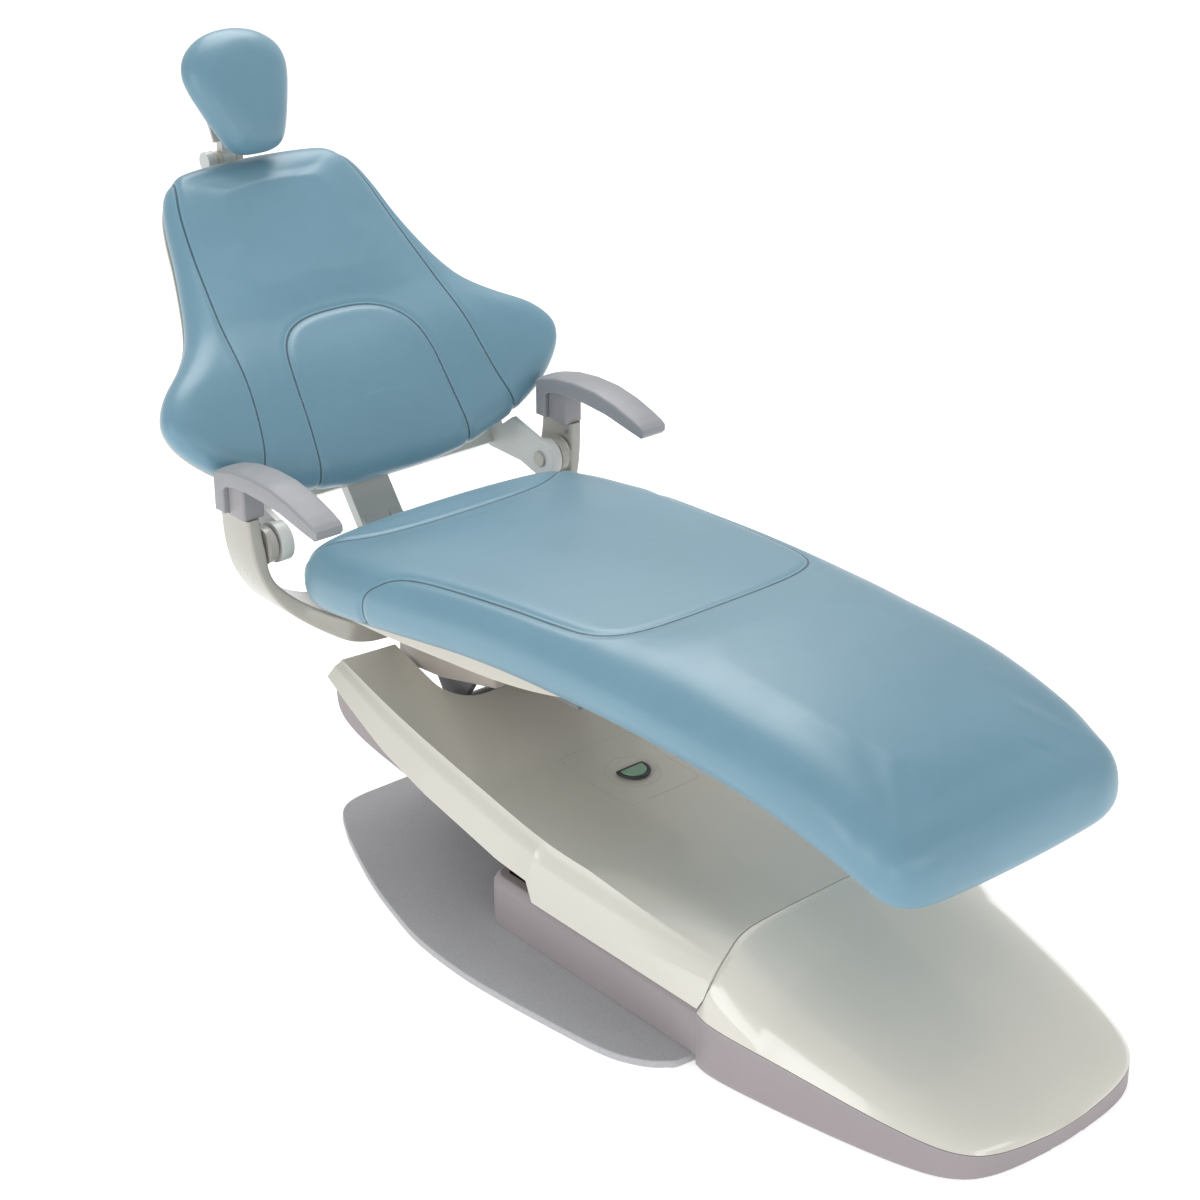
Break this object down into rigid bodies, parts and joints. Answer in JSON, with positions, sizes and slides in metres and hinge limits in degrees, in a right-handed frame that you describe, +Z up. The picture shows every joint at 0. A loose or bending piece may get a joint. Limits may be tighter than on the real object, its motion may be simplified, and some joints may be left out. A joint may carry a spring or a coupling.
{
  "type": "dental patient chair",
  "caption": "Motorised dental patient chair with a floor base, parallelogram lift arm, upholstered seat and leg rest, reclining winged back, swivel arm pads and an adjustable headrest",
  "frame": {"origin": "Centre of the four floor-bolt holes, on the floor under the base plate.", "axes": "+Z up; -Y towards the patient's feet, +Y towards the head; X across the chair, -X on the seated patient's right."},
  "size_m": [0.7826, 1.9597, 1.1694],
  "materials": {
    "upholstery": "satin seamed vinyl over foam",
    "ivory_gloss": "glossy moulded cover",
    "mauve_matte": "matte moulded skirt",
    "plate_paint": "fine-textured powder coat",
    "frame_paint": "satin paint",
    "sling_paint": "smooth gloss paint on cast aluminium",
    "yoke_paint": "satin paint",
    "steel": "ground steel",
    "chrome_rod": "polished rod",
    "barrel_paint": "semi-gloss paint",
    "shroud_matte": "matte moulding",
    "pad_grey": "soft-touch urethane",
    "socket_grey": "matte moulding",
    "dark_plastic": "matte",
    "button_green": "translucent-looking gloss",
    "tank_plastic": "milky moulding"
  },
  "bodies": {
    "base": {"base_plate": "plate_paint", "base_frame": "frame_paint", "lift_shaft": "steel", "link_shaft": "steel", "base_skirt": "mauve_matte", "nose_cover": "ivory_gloss", "nose_skirt": "mauve_matte", "pump_tray": "frame_paint", "pump_motor": "barrel_paint", "fluid_reservoir": "tank_plastic", "valve_block": "steel", "control_box": "dark_plastic"},
    "lift": {"lift_arm": "frame_paint", "lift_cover": "ivory_gloss", "lift_under_cover": "mauve_matte", "switch_bezel": "dark_plastic"},
    "button": {"switch_button": "button_green"},
    "link": {"parallel_link": "frame_paint"},
    "lift_barrel": {"lift_cylinder": "barrel_paint"},
    "lift_piston": {"lift_rod": "chrome_rod"},
    "seat": {"carriage_frame": "frame_paint", "carriage_shaft": "steel", "carriage_link_pin": "steel", "carriage_shroud": "shroud_matte", "seat_frame": "frame_paint", "seat_pan": "ivory_gloss", "seat_cushion": "upholstery", "sling_arm_right": "sling_paint", "sling_arm_left": "sling_paint", "back_pivot_right": "sling_paint", "back_pivot_left": "sling_paint", "sling_screws": "steel", "back_cylinder": "barrel_paint"},
    "arm_right": {"arm_socket_right": "socket_grey", "arm_pad_right": "pad_grey"},
    "arm_left": {"arm_socket_left": "socket_grey", "arm_pad_left": "pad_grey"},
    "back": {"back_frame": "yoke_paint", "back_shell": "ivory_gloss", "back_cushion": "upholstery", "headrest_guide": "dark_plastic"},
    "back_piston": {"back_rod": "chrome_rod"},
    "head_slide": {"headrest_bar": "sling_paint"},
    "head_link": {"headrest_link": "yoke_paint"},
    "head_pad": {"headrest_plate": "sling_paint", "headrest_cushion": "upholstery"},
    "head_lever": {"headrest_knob": "dark_plastic"}
  },
  "joints": [
    {"name": "lift", "type": "hinge", "parent": "base", "child": "lift", "pos_m": [0, -0.142, 0.165], "axis": [1, 0, 0], "range_deg": [0, 32.5]},
    {"name": "link_pivot", "type": "hinge", "parent": "base", "child": "link", "pos_m": [0, -0.142, 0.105], "axis": [1, 0, 0], "range_deg": [-1, 35]},
    {"name": "seat_level", "type": "hinge", "parent": "lift", "child": "seat", "pos_m": [0, 0.56, 0.185], "axis": [1, 0, 0], "range_deg": [-35, 1]},
    {"name": "lift_barrel_pivot", "type": "hinge", "parent": "base", "child": "lift_barrel", "pos_m": [0, -0.06, 0.044], "axis": [1, 0, 0], "range_deg": [-1, 36]},
    {"name": "lift_rod_slide", "type": "slide", "parent": "lift_barrel", "child": "lift_piston", "axis": [0, 0.9722, 0.2342], "range_m": [-0.001, 0.088]},
    {"name": "switch_press", "type": "slide", "parent": "lift", "child": "button", "axis": [0, -0.0349, -0.9994], "range_m": [0, 0.0025], "stiffness_N_per_m": 600},
    {"name": "back_recline", "type": "hinge", "parent": "seat", "child": "back", "pos_m": [0, 0.742, 0.475], "axis": [1, 0, 0], "range_deg": [-44, 4]},
    {"name": "back_rod_slide", "type": "slide", "parent": "seat", "child": "back_piston", "axis": [0, 1, 0], "range_m": [-0.11, 0.02]},
    {"name": "arm_right_swivel", "type": "hinge", "parent": "seat", "child": "arm_right", "pos_m": [-0.324, 0.76, 0.53], "axis": [0, 0, 1], "range_deg": [-90, 0]},
    {"name": "arm_left_swivel", "type": "hinge", "parent": "seat", "child": "arm_left", "pos_m": [0.324, 0.76, 0.53], "axis": [0, 0, 1], "range_deg": [0, 90]},
    {"name": "headrest_slide", "type": "slide", "parent": "back", "child": "head_slide", "axis": [0, 0.592, 0.8059], "range_m": [0, 0.09]},
    {"name": "headrest_lower_tilt", "type": "hinge", "parent": "head_slide", "child": "head_link", "pos_m": [0, 1.26166, 0.93843], "axis": [1, 0, 0], "range_deg": [-35, 0]},
    {"name": "headrest_upper_tilt", "type": "hinge", "parent": "head_link", "child": "head_pad", "pos_m": [0, 1.25519, 1.0388], "axis": [1, 0, 0], "range_deg": [-30, 0]},
    {"name": "headrest_lever_turn", "type": "hinge", "parent": "head_slide", "child": "head_lever", "pos_m": [0, 1.26166, 0.93843], "axis": [1, 0, 0], "range_deg": [-50, 0]}
  ],
  "couplings": [
    {"joint": "link_pivot", "follows": "lift", "ratio": 1},
    {"joint": "seat_level", "follows": "lift", "ratio": -1},
    {"joint": "lift_barrel_pivot", "follows": "lift", "ratio": 1.03},
    {"joint": "lift_rod_slide", "follows": "lift", "m_per_rad": 0.1437},
    {"joint": "back_rod_slide", "follows": "back_recline", "m_per_rad": 0.1287}
  ]
}
